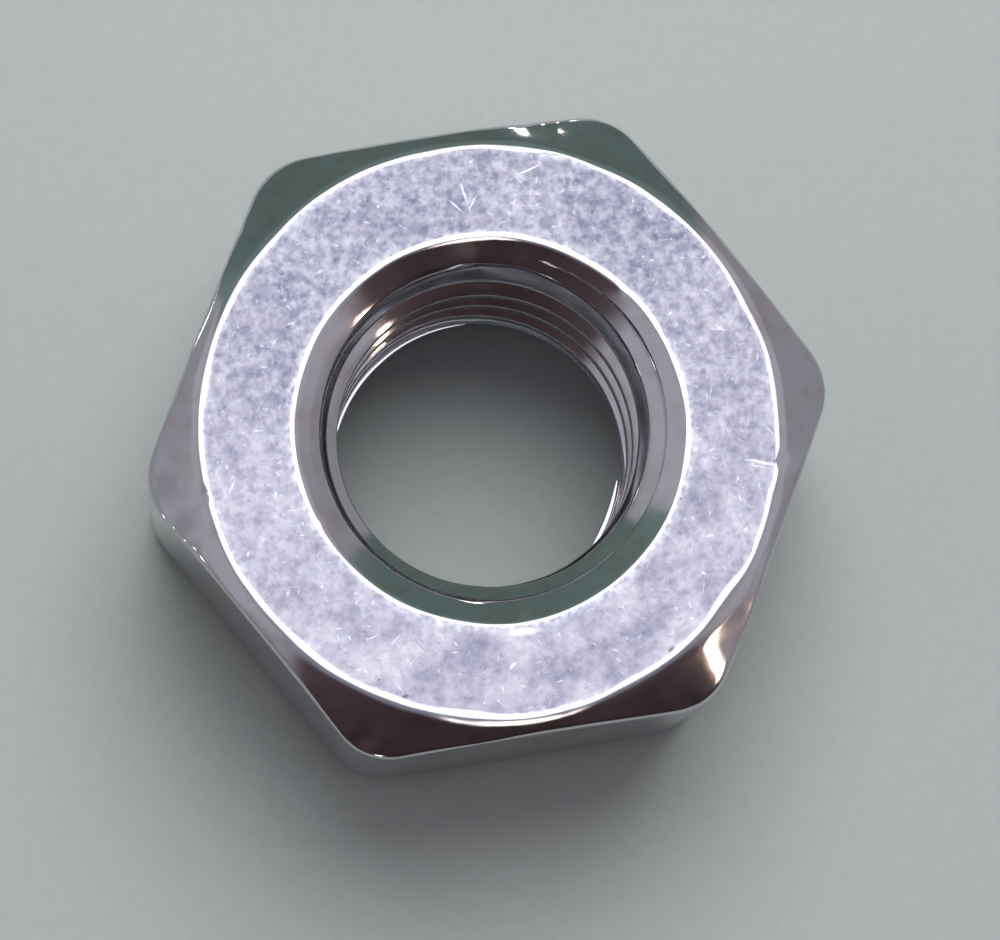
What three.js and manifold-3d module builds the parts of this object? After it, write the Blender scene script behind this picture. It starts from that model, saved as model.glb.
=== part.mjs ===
// A plain hexagon nut with a metric coarse thread, in the DIN 934 proportions for M10.
// Millimetres, +Z up along the thread axis. The origin is the centre of the lower bearing face.
// Two opposite corners lie on the X axis, so two opposite wrench flats face -Y and +Y.
import * as THREE from 'three';
import { mergeVertices } from 'three/addons/utils/BufferGeometryUtils.js';
import Module from 'manifold-3d';

// Driving dimensions, in millimetres.
const ACROSS_FLATS = 17;
const THICKNESS = 8;
const CORNER_RADIUS = 1.75; // a cold-forged blank never fills its corners
const FACE_DIAMETER = 16.15; // the flat bearing face ends here, where the corner chamfers start
const COUNTERSINK_DIAMETER = 10.84;
const ENTRY_DIAMETER = 9.44; // the countersink ends here, and a steep taper leads down to the thread
const THREAD_MAJOR_DIAMETER = 10;
const THREAD_MINOR_DIAMETER = 8.376;
const THREAD_PITCH = 1.5;
const GROOVE_HEIGHT_ON_X = 0.05; // the groove's middle crosses the +X side this far above the origin

// Driving angles, in degrees.
const CHAMFER_SLOPE = 30; // corner chamfers, measured from the bearing face
const COUNTERSINK_SLOPE = 30; // both countersinks, measured from the bearing face
const ENTRY_SLOPE = 63; // the steep tapers below the countersinks, measured from the bearing face
const FLANK_SLOPE = 30; // thread flanks, measured from a plane across the axis

// How finely the round surfaces are divided.
const THREAD_STEPS_PER_TURN = 48;
const OUTSIDE_STEPS = 96;
const CORNER_STEPS = 8;
const OVERRUN = 0.5; // every cutting shape reaches this far past the surface it cuts

const tanDegrees = (degrees) => Math.tan(THREE.MathUtils.degToRad(degrees));

// A groove cut with the thread's outline follows this path: one right-hand helix that starts above
// the nut on the +X side and sinks by one pitch for each clockwise turn, seen from above.
class DescendingHelix extends THREE.Curve {
  constructor(radius, pitch, startHeight, turns) {
    super();
    this.radius = radius;
    this.pitch = pitch;
    this.startHeight = startHeight;
    this.turns = turns;
  }

  getPoint(t, target = new THREE.Vector3()) {
    const turned = t * this.turns;
    const angle = -2 * Math.PI * turned;
    const height = this.startHeight - this.pitch * turned;
    return target.set(this.radius * Math.cos(angle), this.radius * Math.sin(angle), height);
  }

  // The section stays in the plane through the axis: its x points outwards and its y points up.
  computeFrenetFrames(segments) {
    const frames = { tangents: [], normals: [], binormals: [] };
    for (let i = 0; i <= segments; i++) {
      const angle = (-2 * Math.PI * this.turns * i) / segments;
      frames.tangents.push(this.getTangent(i / segments));
      frames.normals.push(new THREE.Vector3(Math.cos(angle), Math.sin(angle), 0));
      frames.binormals.push(new THREE.Vector3(0, 0, 1));
    }
    return frames;
  }
}

// Turns a radius-and-height outline about the Z axis.
function turned(outline, steps) {
  const points = outline.map(([radius, height]) => new THREE.Vector2(radius, height));
  return new THREE.LatheGeometry(points, steps).rotateX(Math.PI / 2);
}

// The forged blank: a hexagonal prism with round corners, between the planes of its two faces.
function hexagonPrism() {
  const cornerCentre = (ACROSS_FLATS / 2 - CORNER_RADIUS) / Math.cos(Math.PI / 6);
  const outline = new THREE.Shape();
  for (let corner = 0; corner < 6; corner++) {
    const angle = (corner * Math.PI) / 3;
    const x = cornerCentre * Math.cos(angle);
    const y = cornerCentre * Math.sin(angle);
    outline.absarc(x, y, CORNER_RADIUS, angle - Math.PI / 6, angle + Math.PI / 6, false);
  }
  outline.closePath();
  const settings = { depth: THICKNESS, bevelEnabled: false, curveSegments: CORNER_STEPS };
  return new THREE.ExtrudeGeometry(outline, settings);
}

// Two blunt cones, base to base. What they leave of the prism has chamfered corners at both ends.
function chamferEnvelope() {
  const faceRadius = FACE_DIAMETER / 2;
  const middle = THICKNESS / 2;
  const widest = faceRadius + middle / tanDegrees(CHAMFER_SLOPE);
  const outline = [[0, 0], [faceRadius, 0], [widest, middle], [faceRadius, THICKNESS], [0, THICKNESS]];
  return turned(outline, OUTSIDE_STEPS);
}

// The tapping hole. Each end has a shallow countersink with a steep taper below it.
function tappingHole() {
  const minor = THREAD_MINOR_DIAMETER / 2;
  const mouth = COUNTERSINK_DIAMETER / 2;
  const entry = ENTRY_DIAMETER / 2;
  const shallow = tanDegrees(COUNTERSINK_SLOPE);
  const entryDepth = (mouth - entry) * shallow;
  const minorDepth = entryDepth + (entry - minor) * tanDegrees(ENTRY_SLOPE);
  const widest = mouth + OVERRUN / shallow;
  const outline = [
    [0, -OVERRUN],
    [widest, -OVERRUN],
    [entry, entryDepth],
    [minor, minorDepth],
    [minor, THICKNESS - minorDepth],
    [entry, THICKNESS - entryDepth],
    [widest, THICKNESS + OVERRUN],
    [0, THICKNESS + OVERRUN],
  ];
  return turned(outline, THREAD_STEPS_PER_TURN);
}

// The thread groove: a 60 degree V with a flat root of an eighth of the pitch, open to the hole.
function threadGroove() {
  const major = THREAD_MAJOR_DIAMETER / 2;
  const depth = major - THREAD_MINOR_DIAMETER / 2 + OVERRUN / 4;
  const rootHalfWidth = THREAD_PITCH / 16;
  const mouthHalfWidth = rootHalfWidth + depth * tanDegrees(FLANK_SLOPE);
  const section = new THREE.Shape([
    new THREE.Vector2(-depth, -mouthHalfWidth),
    new THREE.Vector2(0, -rootHalfWidth),
    new THREE.Vector2(0, rootHalfWidth),
    new THREE.Vector2(-depth, mouthHalfWidth),
  ]);
  const turnsToTop = Math.ceil((THICKNESS + OVERRUN - GROOVE_HEIGHT_ON_X) / THREAD_PITCH);
  const startHeight = GROOVE_HEIGHT_ON_X + turnsToTop * THREAD_PITCH;
  const turns = Math.ceil((startHeight + OVERRUN) / THREAD_PITCH);
  const path = new DescendingHelix(major, THREAD_PITCH, startHeight, turns);
  const steps = turns * THREAD_STEPS_PER_TURN;
  return new THREE.ExtrudeGeometry(section, { steps, extrudePath: path });
}

const wasm = await Module();
wasm.setup();

// A closed mesh with its shared corners merged becomes a solid that can be cut.
function toSolid(geometry) {
  const bare = geometry.index ? geometry.toNonIndexed() : geometry.clone();
  bare.deleteAttribute('normal');
  bare.deleteAttribute('uv');
  const merged = mergeVertices(bare, 1e-5);
  const vertProperties = new Float32Array(merged.attributes.position.array);
  const triVerts = new Uint32Array(merged.index.array);
  return new wasm.Manifold(new wasm.Mesh({ numProp: 3, vertProperties, triVerts }));
}

function toGeometry(solid) {
  const mesh = solid.getMesh();
  const geometry = new THREE.BufferGeometry();
  geometry.setAttribute('position', new THREE.BufferAttribute(mesh.vertProperties, 3));
  geometry.setIndex(new THREE.BufferAttribute(mesh.triVerts, 1));
  geometry.computeVertexNormals();
  return geometry;
}

function hexNut() {
  const blank = toSolid(hexagonPrism()).intersect(toSolid(chamferEnvelope()));
  const drilled = blank.subtract(toSolid(tappingHole()));
  const tapped = drilled.subtract(toSolid(threadGroove()));
  const zincPlatedSteel = new THREE.MeshStandardMaterial({
    color: 0xbdbccb,
    roughness: 0.3,
    metalness: 1,
  });
  const nut = new THREE.Mesh(toGeometry(tapped), zincPlatedSteel);
  nut.name = 'hex_nut';
  return nut;
}

const part = new THREE.Group();
part.add(hexNut());

export default part;
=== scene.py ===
"""The looks of a zinc-plated hexagon nut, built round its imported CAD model.

The nut is worked out on grids: angle round the axis one way, and the outline of the nut's section the
other way. The outside is one sheet and the threaded hole, a true helix, is another.
"""
import math

import bpy
import numpy as np
from mathutils import Matrix, Vector


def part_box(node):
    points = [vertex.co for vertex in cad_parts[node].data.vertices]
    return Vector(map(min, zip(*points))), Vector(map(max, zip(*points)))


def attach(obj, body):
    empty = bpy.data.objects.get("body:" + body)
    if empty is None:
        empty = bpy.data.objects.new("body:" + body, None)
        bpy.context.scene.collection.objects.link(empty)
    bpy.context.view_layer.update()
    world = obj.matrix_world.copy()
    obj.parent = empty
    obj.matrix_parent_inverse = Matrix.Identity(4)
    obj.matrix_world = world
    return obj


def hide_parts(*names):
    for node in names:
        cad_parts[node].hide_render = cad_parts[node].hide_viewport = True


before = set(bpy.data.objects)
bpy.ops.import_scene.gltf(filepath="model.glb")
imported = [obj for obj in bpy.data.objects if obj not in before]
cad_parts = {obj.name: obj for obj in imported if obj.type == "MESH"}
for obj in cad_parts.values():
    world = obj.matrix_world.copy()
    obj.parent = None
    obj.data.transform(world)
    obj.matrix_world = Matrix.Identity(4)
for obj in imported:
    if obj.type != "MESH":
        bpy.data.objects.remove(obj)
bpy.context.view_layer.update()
NUT_LOW, NUT_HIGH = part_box("hex_nut")

bl_info = {
    "name": "Plated Hexagon Nut",
    "version": (1, 0, 0),
    "blender": (4, 5, 0),
    "location": "3D View > Sidebar > Nut",
    "description": "Builds a zinc-plated hexagon nut with a true thread, its finish and its stage",
    "category": "Add Mesh",
}

MM = 0.001

# How the nut's surface is divided, and lengths in millimetres except where noted.
COLUMNS = 420  # steps round the axis
BURR_COLUMNS = 49  # points along a burr
BURR_POINTS = 13  # points round a burr's section
SAME_POINT = 1e-8  # points closer than about this are joined, in metres
HAIR_INSIDE = 0.99999  # keeps the smooth corners within the box of the faceted model
JOIN_RING = 0.27  # width of the strip inside the countersink's edge, down to where the sheets join
RING_MIDDLE = 6.7  # distance from the axis to the middle of the ring of material
FACE_SKIN = 0.0008  # points this close to a face's plane take the ground finish
WIDE_MOUTH_EDGE = math.radians(100)  # where the countersink's edge is rolled over most
WIDE_FACE_EDGE = math.radians(-70)  # where the face's outer edge is worn most


# ---------------------------------------------------------------- settings


def length(name, description, millimetres):
    """A length that a user may change, given in millimetres."""
    return bpy.props.FloatProperty(
        name=name, description=description, default=millimetres * MM, unit="LENGTH", precision=5
    )


def angle(name, description, degrees):
    """An angle that a user may change, given in degrees."""
    return bpy.props.FloatProperty(
        name=name, description=description, default=math.radians(degrees), unit="ROTATION"
    )


def linear(code):
    """An sRGB hex colour such as "b4b8b6" as linear red, green and blue."""
    values = [int(code[i : i + 2], 16) / 255 for i in (0, 2, 4)]
    return [v / 12.92 if v <= 0.04045 else ((v + 0.055) / 1.055) ** 2.4 for v in values]


def colour(name, description, code):
    """A colour that a user may change, given as an sRGB hex colour."""
    return bpy.props.FloatVectorProperty(
        name=name, description=description, default=linear(code), size=3, subtype="COLOR", min=0, max=1
    )


class NutSizes(bpy.types.PropertyGroup):
    """Sizes of the nut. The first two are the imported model's own."""

    across_flats: length("Across flats", "Width between opposite flats", (NUT_HIGH.y - NUT_LOW.y) / MM)
    thickness: length("Thickness", "Height between the two faces", (NUT_HIGH.z - NUT_LOW.z) / MM)
    corner_radius: length("Corner radius", "Rounding of the six forged corners", 1.75)
    face_diameter: length("Face diameter", "Where the corner chamfers start", 16.15)
    chamfer_slope: angle("Chamfer slope", "Slope of the corner chamfers from the face", 30)
    mouth_diameter: length("Countersink", "Countersink diameter at the face", 10.84)
    mouth_slope: angle("Countersink slope", "Slope of the countersink from the face", 30)
    entry_diameter: length("Entry", "Where the countersink ends and the steep taper starts", 9.44)
    entry_slope: angle("Entry slope", "Slope of the steep taper from the face", 63)
    thread_major: length("Thread major", "Diameter at the bottom of the groove", 10)
    thread_minor: length("Thread minor", "Diameter of the tapping hole", 8.376)
    pitch: length("Pitch", "Rise of the thread in one turn", 1.5)
    flank_slope: angle("Flank slope", "Slope of the thread's flanks across the axis", 30)
    groove_height: length("Groove height", "Height of the groove's middle on the +X side", 0.05)
    face_edge_radius: length("Face edge", "Rounding where a face meets the chamfers", 0.8)
    mouth_edge_radius: length("Mouth edge", "Rounding where a face meets the countersink", 0.5)
    flat_edge_radius: length("Flat edge", "Rounding where a chamfer meets a flat", 0.22)
    entry_radius: length("Entry edge", "Rounding at both ends of the steep taper", 0.25)
    crest_radius: length("Crest edge", "Rounding of the thread's crest edges", 0.06)
    root_radius: length("Root corner", "Rounding in the bottom of the groove", 0.07)


class NutFinish(bpy.types.PropertyGroup):
    """Colours of the plating and of the stage."""

    bright: colour("Bright zinc", "Smooth plated surfaces", "c9c8cf")
    face_light: colour("Face, light patches", "Pale patches of the ground faces", "b9b8be")
    face_dark: colour("Face, dark patches", "Dull patches of the ground faces", "73718a")
    fleck: colour("Fleck", "Fresh scratches in the ground faces", "e2e2ea")
    stroke: colour("Stroke", "Dull strokes in the ground faces", "666480")
    speck: colour("Speck", "Dark specks in the ground faces", "6f676c")
    stain: colour("Stain", "Faint brown cast in the passivate", "b79f8c")
    dull: colour("Dull blotches", "Brown blotches on the smooth plated surfaces", "80706c")
    floor: colour("Floor", "The plain floor", "abb0ad")
    backdrop: colour("Backdrop", "What shows above the floor's far edge", "cdd2d0")


# ---------------------------------------------------------------- the nut's surface


def corner_distance(turn, sizes):
    """Distance from the axis to the hexagon's outline, at each angle.

    Measured from the nearest corner's direction, a flat is a straight line at half the width across
    flats, and near a corner the outline is a circle that touches both flats.
    """
    sixth = math.pi / 3
    off = np.abs((turn + sixth / 2) % sixth - sixth / 2)
    flat = sizes.across_flats / 2
    round_by = sizes.corner_radius
    centre = (flat - round_by) / math.cos(sixth / 2)
    touch = math.atan2(round_by * math.sin(sixth / 2), centre + round_by * math.cos(sixth / 2))
    on_circle = np.sqrt(np.maximum(round_by**2 - (centre * np.sin(off)) ** 2, 0))
    corner = centre * np.cos(off) + on_circle
    return np.where(off < touch, corner, flat / np.cos(sixth / 2 - off))


def polar(azimuth, distance):
    """Where an azimuth in degrees and a distance from the axis in millimetres fall in the XY plane."""
    turn = math.radians(azimuth)
    return distance * MM * math.cos(turn), distance * MM * math.sin(turn)


def wobble(turn, lowest, count, seed):
    """A smooth uneven line round the axis, about -1 to 1: waves that fit whole times into one turn."""
    random = np.random.default_rng(seed)
    total = np.zeros_like(turn)
    for wave in range(lowest, lowest + count):
        total += np.sin(wave * turn + random.uniform(0, 2 * math.pi)) / math.sqrt(count)
    return total


def uneven_by(turn, share, seed):
    """A factor that wanders round 1 by about this share, in waves of 4 to 25 to a turn."""
    smallest, largest = 0.3, 2
    return np.clip(1 + share * wobble(turn, lowest=4, count=22, seed=seed), smallest, largest)


def rounded_rows(corners, radii, arc_steps, fills):
    """Rows of points along an outline given by its corners, for every angle at once.

    corners is (corner, angle, 2) with radius and height. Each inner corner becomes a rational
    quadratic curve whose middle weight is the cosine of half the turn, which is an arc of that radius.
    It cuts off no more than a share of the shorter stretch beside it. Fill rows crowd towards both
    ends of a straight stretch, by a cosine, so that shading stays flat there.
    """
    most_cut = 0.45
    sharpest = -0.999  # cosine of the sharpest turn that is worked out as it is
    tiny = 1e-12  # stands in for the length of a stretch that has none
    steps = np.diff(corners, axis=0)
    spans = np.linalg.norm(steps, axis=2)
    heads = steps / np.maximum(spans, tiny)[..., None]
    starts, ends, arcs = [], [], []
    for i, radius in enumerate(radii):
        cosine = np.clip((heads[i] * heads[i + 1]).sum(axis=1), sharpest, 1)
        cut = radius * np.sqrt((1 - cosine) / (1 + cosine))
        cut = np.minimum(cut, most_cut * np.minimum(spans[i], spans[i + 1]))[:, None]
        corner = corners[i + 1]
        first = corner - heads[i] * cut
        last = corner + heads[i + 1] * cut
        weight = np.sqrt((1 + cosine) / 2)[:, None]
        rows = []
        for u in np.linspace(0, 1, arc_steps[i] + 1):
            near, middle, far = (1 - u) ** 2, 2 * u * (1 - u) * weight, u**2
            rows.append((near * first + middle * corner + far * last) / (near + middle + far))
        starts.append(first)
        ends.append(last)
        arcs.append(np.stack(rows))
    ends.insert(0, corners[0])
    starts.append(corners[-1])
    pieces = [corners[:1]]
    for i, fill in enumerate(fills):
        share = 0.5 - 0.5 * np.cos(np.linspace(0, math.pi, fill + 2)[1:-1])
        pieces.append(ends[i] + (starts[i] - ends[i]) * share[:, None, None])
        if i < len(arcs):
            pieces.append(arcs[i])
    pieces.append(corners[-1:])
    return np.concatenate(pieces)


def outside_rows(turn, mouth, ring, sizes):
    """The outline from inside the upper countersink, over the outside, to inside the lower one.

    At each angle it is a chain of straight stretches: countersink, face, corner chamfer, flat,
    chamfer, face, countersink. Chamfers are cones, so on a flat they end in a curve. That curve
    wanders, least where it comes near the face.
    """
    drop_wander, edge_wander = 0.05 * MM, 0.015 * MM
    free_drop = 0.6 * MM  # at this drop and more, a chamfer's lower edge wanders in full
    least_wander = 0.15
    mouth_swell, face_swell = 0.4, 0.2  # how much wider the edges' roundings are on their widest side
    top = np.full_like(turn, sizes.thickness)
    zero = np.zeros_like(turn)
    side = corner_distance(turn, sizes) * HAIR_INSIDE
    edge = sizes.face_diameter / 2
    drop = np.maximum((side - edge) * math.tan(sizes.chamfer_slope), 0)
    freedom = np.clip(drop / free_drop, least_wander, 1)
    upper_drop = drop + drop_wander * wobble(turn, lowest=5, count=14, seed=3) * freedom
    lower_drop = drop + drop_wander * wobble(turn, lowest=6, count=13, seed=4) * freedom
    edge = np.full_like(turn, edge) + edge_wander * wobble(turn, lowest=3, count=9, seed=5)
    deep = ring * math.tan(sizes.mouth_slope)
    chain = [
        (mouth - ring, top - deep),
        (mouth, top),
        (edge, top),
        (side, top - upper_drop),
        (side, zero + lower_drop),
        (edge, zero),
        (mouth, zero),
        (mouth - ring, zero + deep),
    ]
    corners = np.stack([np.stack(point, axis=1) for point in chain])
    rolled = 1 + mouth_swell * np.cos(turn - WIDE_MOUTH_EDGE)
    worn = 1 + face_swell * np.cos(turn - WIDE_FACE_EDGE)
    mouth_edge = sizes.mouth_edge_radius * rolled * uneven_by(turn, share=0.22, seed=6)
    face_edge = sizes.face_edge_radius * worn * uneven_by(turn, share=0.2, seed=7)
    flat_edge = sizes.flat_edge_radius * uneven_by(turn, share=0.3, seed=9)
    radii = [mouth_edge, face_edge, flat_edge, flat_edge, face_edge, mouth_edge]
    arc_steps = [7, 7, 4, 4, 7, 7]
    fills = [2, 14, 4, 8, 4, 14, 2]
    return rounded_rows(corners, radii, arc_steps, fills)


def thread_rows(turn, mouth, ring, sizes):
    """The outline down the hole, from inside the upper countersink to inside the lower one.

    The bare hole narrows from each countersink along a steep taper. The groove is a V with a flat
    root, and its middle rises by one pitch per turn. Each groove gives four corners, upper lip, two
    root corners and lower end, and each crest between two grooves gives two more, where the bare
    hole's own corners fall. A lip lies where the heights of flank and bare hole are equal. A groove
    in the open air closes up to a point on the countersink, and all is mirrored at the lower face.
    """
    top = sizes.thickness
    root, crest, entry = sizes.thread_major / 2, sizes.thread_minor / 2, sizes.entry_diameter / 2
    flank, cone, taper = (
        math.tan(slope) for slope in (sizes.flank_slope, sizes.mouth_slope, sizes.entry_slope)
    )
    half_root = sizes.pitch / 16  # the root is an eighth of the pitch wide
    lead = 0.03 * MM  # how far the root leans, and how far outside it a closed groove ends
    opening = 0.3 * MM  # a groove opens up over this height
    apart = 0.12 * MM  # the least height between a crest's corners, where there is room
    entry_depth = (mouth - entry) * cone
    crest_depth = entry_depth + (entry - crest) * taper

    def depth(radius):
        """How far below its face the bare hole has this radius."""
        return np.maximum((mouth - radius) * cone, entry_depth + (entry - radius) * taper)

    def bare_radius(height):
        """The bare hole's radius at a height: the widest of cone, taper and crest."""
        down = np.minimum(height, top - height)
        on_cone = mouth - down / cone
        on_taper = entry - (down - entry_depth) / taper
        return np.maximum(np.maximum(on_cone, on_taper), crest)

    def corner(radius, height):
        """A corner at this radius, with its height kept between the two ends of the bare hole."""
        return np.stack([radius, np.clip(height, depth(radius), top - depth(radius))], axis=1)

    def shut(middle):
        """0 where the groove cuts the countersink, and 1 where it is well above it."""
        share = np.clip((middle - half_root - top + depth(root)) / opening, 0, 1)
        return share * share * (3 - 2 * share)

    def upper_lip(middle):
        """Radius where the groove's upper flank meets the bare hole, at the nut's upper end."""
        start = middle + half_root - top + root * flank
        on_cone = (start + mouth * cone) / (flank + cone)
        on_taper = (start + entry_depth + entry * taper) / (flank + taper)
        return np.clip(np.maximum(on_cone, on_taper), crest, root + lead)

    def lower_end(middle):
        """Radius where the groove's lower flank meets the bare hole, at the nut's upper end."""
        start = middle - half_root - top - root * flank
        on_taper = np.clip((start + entry_depth + entry * taper) / (taper - flank), crest, entry)
        return on_taper + (root + lead - entry) * shut(middle)

    rise = sizes.groove_height + sizes.pitch * turn / (2 * math.pi)
    first, last = math.ceil(top / sizes.pitch) + 1, -2  # the grooves past both ends stay closed
    start = mouth - ring
    chain = [corner(start, np.full_like(start, top))]
    radii, arc_steps, fills = [], [], []
    for k in range(first, last - 1, -1):
        middle = rise + k * sizes.pitch
        mirrored = top - middle
        next_down, next_up = middle - sizes.pitch, mirrored - sizes.pitch
        above = np.maximum.reduce([upper_lip(middle), lower_end(mirrored), upper_lip(next_up)])
        below = np.maximum.reduce([upper_lip(mirrored), lower_end(middle), upper_lip(next_down)])
        lip = corner(above, middle + half_root + (root - above) * flank)
        closed = np.maximum(shut(middle), shut(mirrored))
        share = np.clip(middle / top, 0, 1)
        root_top = root - lead * (1 - share)
        root_bottom = root - lead * share
        if k < first:
            high, low = chain[-1][:, 1], lip[:, 1]
            gap = np.maximum(high - low, 0)
            edge = np.minimum(apart, gap / 3)
            upper_half = high + low > top
            one = np.where(upper_half, top - entry_depth, crest_depth)
            two = np.where(upper_half, top - crest_depth, entry_depth)
            one = np.maximum(np.minimum(one, high - edge), low + 2 * edge)
            two = np.maximum(np.minimum(two, one - edge), low + edge)
            chain += [np.stack([bare_radius(one), one], axis=1), np.stack([bare_radius(two), two], axis=1)]
            radii += [sizes.entry_radius, sizes.entry_radius]
            arc_steps += [2, 2]
            fills += [0, 1]
        chain += [
            lip,
            corner(root_top + (root + lead - root_top) * closed, middle + half_root),
            corner(root_bottom + (root + lead - root_bottom) * closed, middle - half_root),
            corner(below, middle - half_root - (root - below) * flank),
        ]
        radii += [sizes.crest_radius, sizes.root_radius, sizes.root_radius, sizes.crest_radius]
        arc_steps += [3, 2, 2, 3]
        fills += [0, 2, 0, 2]
    chain.append(corner(start, np.zeros_like(start)))
    fills.append(0)
    return rounded_rows(np.stack(chain), radii, arc_steps, fills)


# Burrs on the lower rim of the hole: where each starts and ends, in degrees, and how far it reaches
# inwards, in millimetres.
BURRS = (
    (83, 162, 0.11),
    (-49, -14, 0.14),
)


def burr_rows(turn, reach, sizes):
    """A thin burr along part of the lower rim, with its flat side up.

    Its section is a flat ellipse round the rim's edge, which swells from nothing at one end and
    shrinks to nothing at the other, by the square root of half a sine wave. It sits where the thread
    runs out into the lower taper, just below the top of the last crest.
    """
    flatness = 0.2  # half the height of its section, as a share of how far it reaches
    crest_share = 0.62  # a crest's top above the groove's middle, as a share of the pitch
    below_crest = 0.05 * MM
    crest, entry = sizes.thread_minor / 2, sizes.entry_diameter / 2
    taper = math.tan(sizes.entry_slope)
    entry_depth = (sizes.mouth_diameter / 2 - entry) * math.tan(sizes.mouth_slope)
    rim = entry_depth + (entry - crest) * taper
    crest_top = sizes.groove_height + sizes.pitch * (turn / (2 * math.pi) % 1) + crest_share * sizes.pitch
    height = np.minimum(rim, crest_top - below_crest)
    wall = crest + (rim - height) / taper
    swell = np.sqrt(np.sin(np.linspace(0, math.pi, len(turn))))
    around = np.linspace(0, 2 * math.pi, BURR_POINTS)[:, None]
    radius = wall - reach * MM * swell * np.cos(around)
    return np.stack([radius, height + flatness * reach * MM * swell * np.sin(around)], axis=-1)


def nut_grid(sizes):
    """Points and faces of the whole nut.

    Two sheets are worked out, the outside and the threaded hole, and joined where their points
    coincide. The hole's rows climb one pitch in a turn, so its last column meets its first column one
    groove lower. The burrs are small closed sheets of their own, let into the wall.
    """
    mouth_wander = 0.012 * MM
    circle = np.linspace(0, 2 * math.pi, COLUMNS + 1)
    mouth = sizes.mouth_diameter / 2 + mouth_wander * wobble(circle, lowest=3, count=10, seed=8)
    ring = JOIN_RING * MM
    sheets = [
        (circle, outside_rows(circle, mouth, ring, sizes), False),
        (circle, thread_rows(circle, mouth, ring, sizes), True),
    ]
    for start, end, reach in BURRS:
        stretch = np.radians(np.linspace(start, end, BURR_COLUMNS))
        sheets.append((stretch, burr_rows(stretch, reach, sizes), False))
    points, quads = [], []
    offset = 0
    for turn, rows, runs_down in sheets:
        count = len(rows)
        radius, height = rows[..., 0], rows[..., 1]
        grid = np.stack([radius * np.cos(turn), radius * np.sin(turn), height], axis=-1)
        index = offset + np.arange(count * len(turn)).reshape(count, len(turn))
        a, b = index[:-1, :-1], index[:-1, 1:]
        c, d = index[1:, 1:], index[1:, :-1]
        quad = np.stack([a, b, c, d] if runs_down else [a, d, c, b], axis=-1)
        points.append(grid.reshape(-1, 3))
        quads.append(quad.reshape(-1, 4))
        offset += count * len(turn)
    return np.concatenate(points), np.concatenate(quads)


def welded(points, quads):
    """Joins points that coincide, and drops the faces that close up."""
    keys = np.round(points / SAME_POINT).astype(np.int64)
    _, keep, where = np.unique(keys, axis=0, return_index=True, return_inverse=True)
    quads = where.reshape(-1)[quads]
    same = quads == np.roll(quads, -1, axis=1)
    repeats = same.sum(axis=1)
    whole = quads[repeats == 0]
    whole = whole[(whole[:, 0] != whole[:, 2]) & (whole[:, 1] != whole[:, 3])]
    pinched, at = quads[repeats == 1], same[repeats == 1]
    triangles = pinched[~at].reshape(-1, 3)
    corners = np.sort(triangles, axis=1)
    distinct = (corners[:, 0] != corners[:, 1]) & (corners[:, 1] != corners[:, 2])
    return points[keep], whole, triangles[distinct]


# Knocks on the upper edges: azimuth in degrees, distance from the axis, height from the upper face,
# reach and depth, in millimetres.
DENTS = (
    (184, 8.05, 0.0, 0.22, 0.04),
    (-15, 8.1, 0.0, 0.12, 0.05),
    (-90, 5.5, 0.0, 0.25, 0.02),
    (200, 5.5, 0.0, 0.18, 0.02),
    (38, 5.5, 0.0, 0.2, 0.02),
    (180, 9.35, -0.75, 0.25, 0.06),
    (188, 9.1, -0.6, 0.3, 0.06),
    (193, 8.9, -0.5, 0.22, 0.05),
    (238, 9.3, -0.75, 0.25, 0.06),
    (297, 9.3, -0.8, 0.25, 0.05),
    (131, 8.9, -0.5, 0.25, 0.04),
    (112, 9.0, -0.5, 0.22, 0.05),
    (74, 8.8, -0.4, 0.3, 0.05),
    (68, 9.0, -0.5, 0.25, 0.05),
)


def dented(points, sizes):
    """Knocks from handling: each pushes the metal towards the middle of the ring of material.

    The push dies away from the knock's centre as a bell curve of the given reach.
    """
    top = sizes.thickness
    for azimuth, distance, height, reach, depth in DENTS:
        centre = np.array([*polar(azimuth, distance), top + height * MM])
        core = np.array([*polar(azimuth, RING_MIDDLE), top / 2])
        push = (core - centre) / np.linalg.norm(core - centre)
        gap = np.linalg.norm(points - centre, axis=1) / (reach * MM)
        points = points + np.exp(-(gap**2))[:, None] * push * depth * MM
    return points


# ---------------------------------------------------------------- materials

# Sizes of the patterns, in millimetres. Zinc's own grain is a few thousandths of a
# millimetre, far too fine to show, so it is drawn at 0.13 mm.
GRAIN = 0.13
WORN_BITS = 0.2
PATCHES = 0.3
STROKE_FIELDS = 0.6
BLOTCHES = 0.75
SHEEN_DRIFT = 0.9
CLOUDS = 1.1
RIPPLES = 1.3
BROWN_CAST = 1.7
BROAD_DRIFT = 3.6
BOARD_GRAIN = 0.4
RELIEF = 0.03  # height of the bumps
BEND_EVERY = 0.5  # scratches bend about this often
BEND_BY = 0.12

# Scratches of the ground faces: cell, half the length and half the width of the largest, in
# millimetres, and the share of cells that hold one.
LONG_SCRATCHES = (0.75, 0.36, 0.04, 0.45)
FLECKS = (0.3, 0.15, 0.05, 0.4)
STROKES = (0.26, 0.17, 0.055, 0.6)
SPECKS = (0.9, 0.09, 0.06, 0.05)

# Single marks on the upper face: azimuth in degrees, distance from the axis in millimetres, heading
# in degrees from +X, and half the length and half the width in millimetres.
PALE_MARKS = (
    (-90, 5.62, 0, 0.55, 0.13),
    (86.5, 6.75, 96, 0.34, 0.035),
    (84.5, 6.45, 55, 0.3, 0.03),
    (89, 6.4, 125, 0.26, 0.03),
    (72, 7.5, 20, 0.42, 0.03),
    (-15.5, 7.55, -15, 0.5, 0.045),
    (-94, 6.5, 30, 0.16, 0.06),
)
DARK_MARKS = (
    (-117, 7.7, 0, 0.1, 0.08),
    (-60, 7.8, 40, 0.16, 0.09),
    (-14.8, 7.95, -15, 0.16, 0.04),
)


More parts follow.
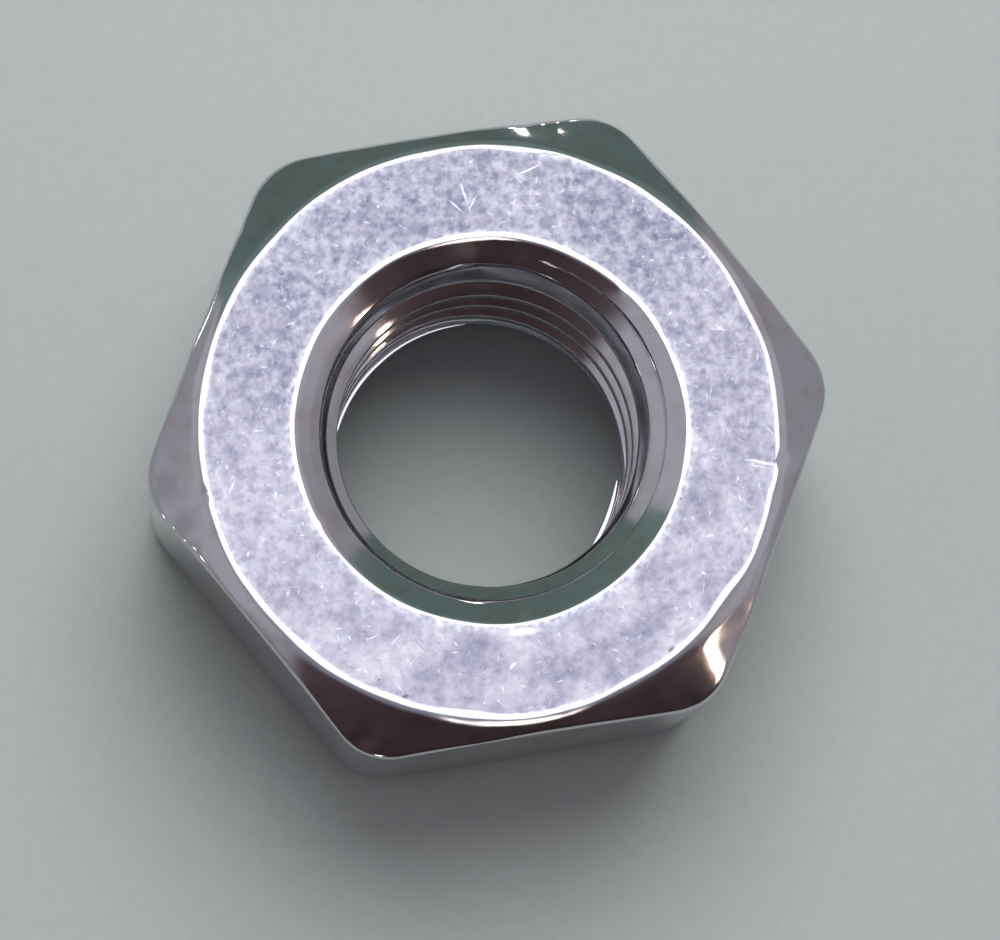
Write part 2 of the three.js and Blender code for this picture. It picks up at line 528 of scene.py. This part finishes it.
def node(tree, kind, *values, **settings):
    """Adds a shader node.

    The values fill its first inputs, in order. Each setting is one of its properties, or an input's
    name with _ for a space. A socket is linked, a node stands for its first output in use, and
    anything else is set. A Map Range node's values are the value, the low and high ends that it comes
    from, and the low and high ends that it goes to, which are 0 and 1 if left out.
    """
    made = tree.nodes.new("ShaderNode" + kind)
    inputs = dict(enumerate(values))
    for name, value in settings.items():
        if hasattr(made, name):
            setattr(made, name, value)
        else:
            inputs[name.replace("_", " ")] = value
    for name, value in inputs.items():
        socket = made.inputs[name]
        if isinstance(value, bpy.types.Node):
            value = next(output for output in value.outputs if output.enabled)
        if isinstance(value, bpy.types.NodeSocket):
            tree.links.new(value, socket)
        elif socket.type == "RGBA":
            socket.default_value = (*value, 1)
        else:
            socket.default_value = value
    return made


def empty_tree(owner):
    """The node tree of a new material or world, with nothing in it."""
    owner.use_nodes = True
    owner.node_tree.nodes.clear()
    return owner.node_tree


def per_mm(size):
    """The scale of a pattern whose features are this many millimetres across."""
    return 1 / (size * MM)


def ellipse(tree, local, heading, half_length, half_width):
    """How far out a spot lies in an ellipse round the origin: 0 in its middle, 1 on its outline."""
    turned = node(tree, "VectorRotate", Vector=local, Angle=heading, rotation_type="Z_AXIS")
    shrink = (per_mm(half_length), per_mm(half_width), 0)
    scaled = node(tree, "VectorMath", turned, shrink, operation="MULTIPLY")
    return node(tree, "VectorMath", scaled, operation="LENGTH")


def dashes(tree, place, cell, half_length, half_width, share):
    """Short straight scratches in the plane of the faces, as a mask from 0 to 1.

    Each cell of a flat Voronoi pattern holds one long ellipse round its own point. The cell's random
    colour turns it, makes it up to a few times smaller and decides whether it is there.
    """
    smallest = 2.5  # the smallest dash is this many times smaller than the largest
    solid = 0.2  # inside this share of the ellipse the mask is 1
    cells = node(tree, "TexVoronoi", Vector=place, voronoi_dimensions="2D", Scale=per_mm(cell))
    chance = node(tree, "SeparateColor", cells.outputs["Color"])
    local = node(tree, "VectorMath", place, cells.outputs["Position"], operation="SUBTRACT")
    heading = node(tree, "Math", chance.outputs["Red"], 2 * math.pi, operation="MULTIPLY")
    reach = ellipse(tree, local, heading, half_length, half_width)
    smaller = node(tree, "MapRange", chance.outputs["Blue"], 0, 1, 1, smallest)
    scaled = node(tree, "Math", reach, smaller, operation="MULTIPLY")
    mask = node(tree, "MapRange", scaled, 1, solid)
    there = node(tree, "Math", chance.outputs["Green"], share, operation="LESS_THAN")
    return node(tree, "Math", mask, there, operation="MULTIPLY")


def marks(tree, place, table):
    """The marks of a table as one mask: each is an ellipse that fades towards its outline."""
    outline, solid = 1.1, 0.3  # the mask falls from 1 to 0 between these shares of the ellipse
    whole = None
    for azimuth, distance, heading, half_length, half_width in table:
        centre = (*polar(azimuth, distance), 0)
        local = node(tree, "VectorMath", place, centre, operation="SUBTRACT")
        reach = ellipse(tree, local, -math.radians(heading), half_length, half_width)
        mask = node(tree, "MapRange", reach, outline, solid)
        whole = mask if whole is None else node(tree, "Math", whole, mask, operation="MAXIMUM")
    return whole


def mottling_and_painted_shade(tree, place, patches, grain):
    """How pale each spot of the ground faces is, from dull at 0 to pale at about 1.

    Patches, grain and a broad drift add up. Towards -Y soft clouds take over, a little paler: that
    is partly painted light. Towards +Y it all grows a little darker, which is painted shade.
    """
    front, calm_end, back = -8 * MM, 5 * MM, 8 * MM
    drift = node(tree, "TexNoise", Vector=place, Scale=per_mm(BROAD_DRIFT), Detail=2.0)
    soft = node(tree, "TexNoise", Vector=place, Scale=per_mm(CLOUDS), Detail=5.0)
    patch_part = node(tree, "MapRange", patches, 0.33, 0.67, 0, 0.5)
    grain_part = node(tree, "MapRange", grain, 0.3, 0.7, 0, 0.3)
    drift_part = node(tree, "MapRange", drift, 0.35, 0.65, 0, 0.2)
    mottle = node(tree, "Math", patch_part, grain_part, operation="ADD")
    mottle = node(tree, "Math", mottle, drift_part, operation="ADD")
    along = node(tree, "SeparateXYZ", place).outputs["Y"]
    # Towards -Y the mottle turns into calmer, paler soft clouds: partly painted light.
    calm_and_painted_light = node(tree, "MapRange", along, front, calm_end, 0.6, 0)
    clouds = node(tree, "MapRange", soft, 0.36, 0.64, 0.25, 1)
    mottle = node(tree, "Mix", Factor=calm_and_painted_light, A=mottle, B=clouds)
    # Painted shade: the ground faces grow darker towards +Y.
    painted_shade_towards_back = node(tree, "MapRange", along, front, back, 0, -0.06)
    return node(tree, "Math", mottle, painted_shade_towards_back, operation="ADD")


def edge_wear(tree, place):
    """Worn, paler metal along both edges of a ground face, broken up by fine noise."""
    mouth, mouth_end = 5.42 * MM, 5.75 * MM
    rim_start, rim = 7.75 * MM, 8.05 * MM
    flat = node(tree, "VectorMath", place, (1, 1, 0), operation="MULTIPLY")
    radius = node(tree, "VectorMath", flat, operation="LENGTH")
    inner = node(tree, "MapRange", radius, mouth, mouth_end, 1, 0)
    outer = node(tree, "MapRange", radius, rim_start, rim)
    both = node(tree, "Math", inner, outer, operation="ADD")
    bits = node(tree, "TexNoise", Vector=place, Scale=per_mm(WORN_BITS), Detail=3.0)
    broken = node(tree, "MapRange", bits, 0.38, 0.68)
    return node(tree, "Math", both, broken, operation="MULTIPLY")


def bent_place(tree, place):
    """The place, shifted a little by slow noise, so that straight scratches bend."""
    noise = node(tree, "TexNoise", Vector=place, Scale=per_mm(BEND_EVERY), Detail=1.0)
    shift = node(tree, "VectorMath", noise.outputs["Color"], operation="SCALE", Scale=BEND_BY * MM)
    return node(tree, "VectorMath", place, shift, operation="ADD")


def zinc_plate(finish):
    """Bright electroplated zinc with a clear passivate on cold-forged steel.

    The smooth sides mirror what is round them, with a slow waviness and a faint brown cast in places.
    The ground faces are duller: soft lilac patches of a few tenths of a millimetre, a fine grain,
    short pale scratches and a few dark specks.
    """
    material = bpy.data.materials.new("bright_zinc_plate")
    tree = empty_tree(material)
    place = node(tree, "TexCoord").outputs["Object"]
    face = node(tree, "Attribute", attribute_name="ground_face").outputs["Fac"]
    height = node(tree, "SeparateXYZ", place).outputs["Z"]
    upper = node(tree, "MapRange", height, 0.4 * NUT_HIGH.z, 0.6 * NUT_HIGH.z)
    curved = bent_place(tree, place)

    # The ground faces, from the mottled metal up to the single marks.
    patches = node(tree, "TexNoise", Vector=place, Scale=per_mm(PATCHES), Detail=3.0)
    grain = node(tree, "TexNoise", Vector=place, Scale=per_mm(GRAIN), Detail=2.0)
    # The mottle holds painted shade towards +Y and partly painted light towards -Y.
    mottle = mottling_and_painted_shade(tree, place, patches, grain)
    ground = node(tree, "Mix", data_type="RGBA", Factor=mottle, A=finish.face_dark, B=finish.face_light)
    fields = node(tree, "TexNoise", Vector=place, Scale=per_mm(STROKE_FIELDS), Detail=1.0)
    field_share = node(tree, "MapRange", fields, 0.4, 0.6, 0, 0.35)
    dull = node(tree, "Math", dashes(tree, curved, *STROKES), field_share, operation="MULTIPLY")
    ground = node(tree, "Mix", data_type="RGBA", Factor=dull, A=ground, B=finish.stroke)

    long_scratches = dashes(tree, curved, *LONG_SCRATCHES)
    pale = node(tree, "Math", long_scratches, dashes(tree, curved, *FLECKS), operation="MAXIMUM")
    pale_grain = node(tree, "MapRange", grain, 0.35, 0.65, 0, 0.7)
    bright = node(tree, "Math", pale, pale_grain, operation="MULTIPLY")
    single_grain = node(tree, "MapRange", grain, 0.25, 0.5, 0.4, 1)
    single = node(tree, "Math", marks(tree, curved, PALE_MARKS), single_grain, operation="MULTIPLY")
    single = node(tree, "Math", single, upper, operation="MULTIPLY")
    bright = node(tree, "Math", bright, edge_wear(tree, place), operation="MAXIMUM")
    bright = node(tree, "Math", bright, single, operation="MAXIMUM")
    ground = node(tree, "Mix", data_type="RGBA", Factor=bright, A=ground, B=finish.fleck)

    dark_marks = node(tree, "Math", marks(tree, curved, DARK_MARKS), upper, operation="MULTIPLY")
    dark = node(tree, "Math", dashes(tree, curved, *SPECKS), dark_marks, operation="MAXIMUM")
    ground = node(tree, "Mix", data_type="RGBA", Factor=dark, A=ground, B=finish.speck)

    # The smooth plating: bright, with a faint cast and a few dull blotches.
    cast_noise = node(tree, "TexNoise", Vector=place, Scale=per_mm(BROWN_CAST), Detail=4.0)
    cast = node(tree, "MapRange", cast_noise, 0.45, 0.8, 0, 0.35)
    smooth = node(tree, "Mix", data_type="RGBA", Factor=cast, A=finish.bright, B=finish.stain)
    blotch_noise = node(tree, "TexNoise", Vector=place, Scale=per_mm(BLOTCHES), Detail=4.0)
    blotches = node(tree, "MapRange", blotch_noise, 0.5, 0.75, 0, 0.2)
    smooth = node(tree, "Mix", data_type="RGBA", Factor=blotches, A=smooth, B=finish.dull)
    base = node(tree, "Mix", data_type="RGBA", Factor=face, A=smooth, B=ground)

    # Paler metal is a little smoother on the faces, and the smooth plating is never quite even.
    face_rough = node(tree, "MapRange", mottle, 0.1, 0.9, 0.46, 0.36)
    sheen = node(tree, "TexNoise", Vector=place, Scale=per_mm(SHEEN_DRIFT), Detail=3.0)
    smooth_rough = node(tree, "MapRange", sheen, 0.3, 0.75, 0.07, 0.15)
    rough = node(tree, "Mix", Factor=face, A=smooth_rough, B=face_rough)

    # Slow ripples everywhere, and on the faces the patches and scratches stand out as well.
    ripple_noise = node(tree, "TexNoise", Vector=place, Scale=per_mm(RIPPLES), Detail=1.0)
    ripple = node(tree, "MapRange", ripple_noise, 0, 1, 0, 0.5)
    patch_relief = node(tree, "MapRange", patches, 0, 1, -0.5, 0.5)
    pale_relief = node(tree, "MapRange", pale, 0, 1, 0, 0.12)
    relief = node(tree, "Math", patch_relief, pale_relief, operation="ADD")
    relief = node(tree, "Math", relief, face, operation="MULTIPLY")
    height_map = node(tree, "Math", ripple, relief, operation="ADD")
    bump = node(tree, "Bump", Height=height_map, Strength=1.0, Distance=RELIEF * MM)
    shader = node(tree, "BsdfPrincipled", Base_Color=base, Roughness=rough, Normal=bump, Metallic=1.0)
    node(tree, "OutputMaterial", Surface=shader)
    return material


def matte_floor(finish):
    """A plain painted board: matte, with a very faint unevenness."""
    darkest = 0.88  # how dark the uneven spots get, as a share of the floor's colour
    material = bpy.data.materials.new("matte_board")
    tree = empty_tree(material)
    place = node(tree, "TexCoord").outputs["Object"]
    grain = node(tree, "TexNoise", Vector=place, Scale=per_mm(BOARD_GRAIN), Detail=4.0)
    dark = [value * darkest for value in finish.floor]
    tint = node(tree, "Mix", data_type="RGBA", Factor=grain, A=finish.floor, B=dark)
    shader = node(tree, "BsdfPrincipled", Base_Color=tint, Roughness=0.85)
    node(tree, "OutputMaterial", Surface=shader)
    return material


# ---------------------------------------------------------------- operators


class HEXNUT_OT_nut(bpy.types.Operator):
    """Builds the plated nut in place of its CAD solid"""

    bl_idname = "hexnut.nut"
    bl_label = "Build Nut"

    def execute(self, context):
        sizes = context.scene.nut_sizes
        points, quads, triangles = welded(*nut_grid(sizes))
        from_face = np.minimum(np.abs(points[:, 2]), np.abs(points[:, 2] - sizes.thickness))
        face = np.clip(1 - from_face / (FACE_SKIN * MM), 0, 1)
        points = dented(points, sizes)
        mesh = bpy.data.meshes.new("plated_nut")
        mesh.from_pydata(points, [], quads.tolist() + triangles.tolist())
        mesh.shade_smooth()
        mesh.attributes.new("ground_face", "FLOAT", "POINT").data.foreach_set("value", face)
        mesh.update()
        nut = bpy.data.objects.new("plated_nut", mesh)
        context.scene.collection.objects.link(nut)
        nut.data.materials.append(zinc_plate(context.scene.nut_finish))
        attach(nut, "root")
        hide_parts("hex_nut")
        return {"FINISHED"}


# Lamps: name, azimuth and elevation in degrees, distance and width in metres, brightness, colour,
# whether it lights the floor and whether the metal mirrors it.
LAMPS = (
    ("key", (75, 57), 0.3, 0.26, 6.2, "fcfdff", True, False),
    ("softbox", (75, 81), 0.16, 0.17, 2.0, "fafaff", False, True),
    ("panel", (-86, 57), 0.3, 0.09, 2.2, "fff4e6", False, True),
    ("warm_lamp", (-41, 28), 0.4, 0.04, 15.0, "ffdbbb", False, True),
    ("glint_lamp", (70, 5), 0.4, 0.035, 12.0, "fffdfa", False, True),
    ("glint_lamp", (141, 10), 0.4, 0.035, 12.0, "fffdfa", False, True),
    ("glint_lamp", (190, 9), 0.4, 0.035, 12.0, "fffdfa", False, True),
    ("glint_lamp", (-117, 9), 0.4, 0.035, 12.0, "fffdfa", False, True),
)


class HEXNUT_OT_stage(bpy.types.Operator):
    """Adds the floor, the studio light and the camera"""

    bl_idname = "hexnut.stage"
    bl_label = "Build Stage"

    def execute(self, context):
        scene = context.scene
        finish = scene.nut_finish
        half = 1.5  # half the floor's width, in metres
        mesh = bpy.data.meshes.new("floor")
        corners = [(-half, -half, 0), (half, -half, 0), (half, half, 0), (-half, half, 0)]
        mesh.from_pydata(corners, [], [(0, 1, 2, 3)])
        floor = bpy.data.objects.new("floor", mesh)
        floor.data.materials.append(matte_floor(finish))
        scene.collection.objects.link(floor)
        for lamp in LAMPS:
            add_light(scene, *lamp)
        set_world(scene, finish)
        set_camera(scene)
        scene.view_settings.view_transform = "Standard"
        return {"FINISHED"}


def direction(azimuth, elevation):
    """A unit vector at an azimuth from +X and an elevation above the floor, in degrees."""
    a, e = math.radians(azimuth), math.radians(elevation)
    return Vector((math.cos(a) * math.cos(e), math.sin(a) * math.cos(e), math.sin(e)))


def add_light(scene, name, towards, distance, size, radiance, code, on_floor, in_metal):
    """A round area light that faces the nut.

    A round lamp's power is its radiance times pi times its area. A lamp may be kept off the matte
    floor, or out of the reflections in the metal.
    """
    light = bpy.data.lights.new(name, "AREA")
    light.shape = "DISK"
    light.size = size
    light.energy = radiance * math.pi * math.pi * (size / 2) ** 2
    light.color = linear(code)
    lamp = bpy.data.objects.new(name, light)
    away = direction(*towards)
    lamp.location = away * distance
    lamp.rotation_euler = away.to_track_quat("Z", "Y").to_euler()
    lamp.visible_diffuse = on_floor
    lamp.visible_glossy = in_metal
    scene.collection.objects.link(lamp)


# The room round the nut, from behind to ahead: a place from 0 to 1 and a colour.
ROOM = (
    (0.0, "33292a"),
    (0.17, "4b3f40"),
    (0.25, "a19fa5"),
    (0.83, "a4a3a8"),
    (0.85, "687a74"),
    (1.0, "687a74"),
)
AHEAD = 86.5  # azimuth of the room's greenish side, in degrees
OVERHEAD = "868892"


def set_world(scene, finish):
    """A dim room round the nut, greenish ahead and brown behind, with a plain backdrop for the eye.

    Heights are sines of the elevation. The room grows brighter above 0.42 and turns into the ceiling
    above 0.75.
    """
    scene.world = bpy.data.worlds.new("studio")
    tree = empty_tree(scene.world)
    sight = node(tree, "TexCoord").outputs["Generated"]
    flat = node(tree, "VectorMath", sight, (1, 1, 0), operation="MULTIPLY")
    heading = node(tree, "VectorMath", flat, operation="NORMALIZE")
    ahead = node(tree, "VectorMath", heading, direction(AHEAD, 0), operation="DOT_PRODUCT")
    height = node(tree, "SeparateXYZ", sight).outputs["Z"]
    room = node(tree, "ValToRGB", node(tree, "MapRange", ahead, -1, 1))
    ramp = room.color_ramp
    for position, _ in ROOM[1:-1]:
        ramp.elements.new(position)
    for element, (position, code) in zip(ramp.elements, ROOM):
        element.position = position
        element.color = (*linear(code), 1)
    above = node(tree, "MapRange", height, 0.75, 0.95, interpolation_type="SMOOTHSTEP")
    dome = node(tree, "Mix", data_type="RGBA", Factor=above, A=room, B=linear(OVERHEAD))
    rising = node(tree, "MapRange", height, 0.42, 0.55, 1, 1.45)
    surroundings = node(tree, "Background", Color=dome, Strength=rising)
    plain = node(tree, "Background", Color=finish.backdrop)
    seen = node(tree, "LightPath").outputs["Is Camera Ray"]
    mixed = node(tree, "MixShader", seen, surroundings, plain)
    node(tree, "OutputWorld", Surface=mixed)


def set_camera(scene):
    """A long lens that looks down on the nut, a little from the front left, and turned about its axis."""
    distance = 0.1066  # metres
    azimuth, elevation, roll = -124.46, 80.07, 25.15  # degrees
    aim = Vector((0.04 * MM, -1.17 * MM, NUT_HIGH.z))
    camera = bpy.data.cameras.new("camera")
    camera.sensor_width = 36
    camera.lens = 139.6
    camera.clip_start = 0.001
    eye = bpy.data.objects.new("camera", camera)
    back = direction(azimuth, elevation)
    right = Vector((0, 0, 1)).cross(back).normalized()
    up = back.cross(right)
    facing = Matrix((right, up, back)).transposed()
    turn = Matrix.Rotation(math.radians(roll), 3, back)
    eye.matrix_world = Matrix.Translation(aim + back * distance) @ (turn @ facing).to_4x4()
    scene.collection.objects.link(eye)
    scene.camera = eye


class HEXNUT_PT_sidebar(bpy.types.Panel):
    """Lists the steps in the 3D view's sidebar"""

    bl_idname = "HEXNUT_PT_sidebar"
    bl_label = "Plated Hexagon Nut"
    bl_space_type = "VIEW_3D"
    bl_region_type = "UI"
    bl_category = "Nut"

    def draw(self, context):
        for step in STEPS:
            self.layout.operator(step.bl_idname)


STEPS = (HEXNUT_OT_stage, HEXNUT_OT_nut)
CLASSES = (NutSizes, NutFinish, *STEPS, HEXNUT_PT_sidebar)


def register():
    for cls in CLASSES:
        bpy.utils.register_class(cls)
    bpy.types.Scene.nut_sizes = bpy.props.PointerProperty(type=NutSizes)
    bpy.types.Scene.nut_finish = bpy.props.PointerProperty(type=NutFinish)


def unregister():
    del bpy.types.Scene.nut_finish
    del bpy.types.Scene.nut_sizes
    for cls in reversed(CLASSES):
        bpy.utils.unregister_class(cls)


def main():
    register()
    bpy.ops.hexnut.stage()
    bpy.ops.hexnut.nut()


if __name__ == "__main__":
    main()
